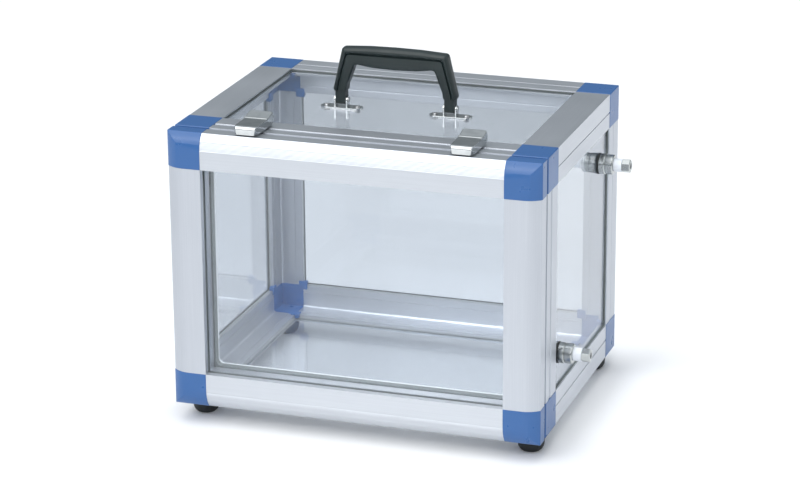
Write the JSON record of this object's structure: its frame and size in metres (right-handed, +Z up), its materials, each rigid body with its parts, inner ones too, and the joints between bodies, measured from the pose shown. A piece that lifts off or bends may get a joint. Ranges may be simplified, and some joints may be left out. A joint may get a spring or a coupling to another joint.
{
  "type": "glass desiccator cabinet",
  "caption": "Portable glass desiccator cabinet: framed glass box with lift-off latched front door, folding carrying handle and side gas ports.",
  "frame": {"origin": "bottom centre of the bounding box, on the plane the feet stand on; the ports on the right move it 15.9 mm right of the cabinet's middle", "axes": "+X to the right seen from the door, +Y from the door to the rear, +Z up"},
  "size_m": [0.4318, 0.31, 0.3858],
  "materials": {
    "aluminium": "satin anodised",
    "blue_plastic": "moulded, semi-gloss",
    "glass": "clear float glass",
    "black_rubber": "matt",
    "pale_rubber": "translucent silicone",
    "steel": "plain",
    "chrome": "bright plated",
    "black_plastic": "moulded, fine texture",
    "white_plastic": "moulded"
  },
  "bodies": {
    "cabinet": {"bottom_left_beam": "aluminium", "bottom_right_beam": "aluminium", "bottom_rear_beam": "aluminium", "bottom_front_beam": "aluminium", "top_left_beam": "aluminium", "top_right_beam": "aluminium", "top_rear_beam": "aluminium", "top_front_beam": "aluminium", "rear_left_post": "aluminium", "rear_right_post": "aluminium", "front_left_post": "aluminium", "front_right_post": "aluminium", "bottom_front_left_corner": "blue_plastic", "bottom_front_right_corner": "blue_plastic", "bottom_rear_left_corner": "blue_plastic", "bottom_rear_right_corner": "blue_plastic", "top_front_left_corner": "blue_plastic", "top_front_right_corner": "blue_plastic", "top_rear_left_corner": "blue_plastic", "top_rear_right_corner": "blue_plastic", "left_glass": "glass", "right_glass": "glass", "rear_glass": "glass", "floor_glass": "glass", "top_glass": "glass", "wall_gaskets": "black_rubber", "top_gasket": "black_rubber", "floor_gasket": "black_rubber", "feet": "black_rubber", "port_washers": "black_rubber", "door_seal": "pale_rubber", "top_screws": "steel", "handle_nuts": "steel", "handle_pins": "steel", "latch_bases": "chrome", "latch_pins": "chrome", "left_handle_saddle": "chrome", "right_handle_saddle": "chrome", "lower_port_body": "chrome", "upper_port_body": "chrome", "port_locknuts": "chrome", "port_collars": "white_plastic"},
    "door": {"door_left_stile": "aluminium", "door_right_stile": "aluminium", "door_bottom_rail": "aluminium", "door_top_rail": "aluminium", "door_bottom_left_corner": "blue_plastic", "door_bottom_right_corner": "blue_plastic", "door_top_left_corner": "blue_plastic", "door_top_right_corner": "blue_plastic", "door_glass": "glass", "door_gasket": "black_rubber", "door_dowels": "steel", "latch_keepers": "chrome", "keeper_rivets": "steel"},
    "handle": {"handle_grip": "black_plastic"},
    "left_lever": {"left_latch_lever": "chrome"},
    "right_lever": {"right_latch_lever": "chrome"},
    "lower_nut": {"lower_port_nut": "chrome"},
    "upper_nut": {"upper_port_nut": "chrome"}
  },
  "joints": [
    {"name": "door_slide", "type": "slide", "parent": "cabinet", "child": "door", "axis": [0, -1, 0], "range_m": [0, 0.12]},
    {"name": "left_latch", "type": "hinge", "parent": "cabinet", "child": "left_lever", "pos_m": [-0.1309, -0.101, 0.3265], "axis": [-1, 0, 0], "range_deg": [0, 100]},
    {"name": "right_latch", "type": "hinge", "parent": "cabinet", "child": "right_lever", "pos_m": [0.0991, -0.101, 0.3265], "axis": [-1, 0, 0], "range_deg": [0, 100]},
    {"name": "handle_fold", "type": "hinge", "parent": "cabinet", "child": "handle", "pos_m": [-0.0159, -0.005, 0.3258], "axis": [1, 0, 0], "range_deg": [-80, 80]},
    {"name": "lower_port_turn", "type": "hinge", "parent": "cabinet", "child": "lower_nut", "pos_m": [0.2109, -0.071, 0.094], "axis": [1, 0, 0], "range_deg": [0, 360]},
    {"name": "upper_port_turn", "type": "hinge", "parent": "cabinet", "child": "upper_nut", "pos_m": [0.2109, 0.085, 0.252], "axis": [1, 0, 0], "range_deg": [0, 360]}
  ],
  "couplings": [
    {"joint": "left_latch", "follows": "door_slide", "rad_per_m": 14.54},
    {"joint": "right_latch", "follows": "door_slide", "rad_per_m": 14.54}
  ]
}
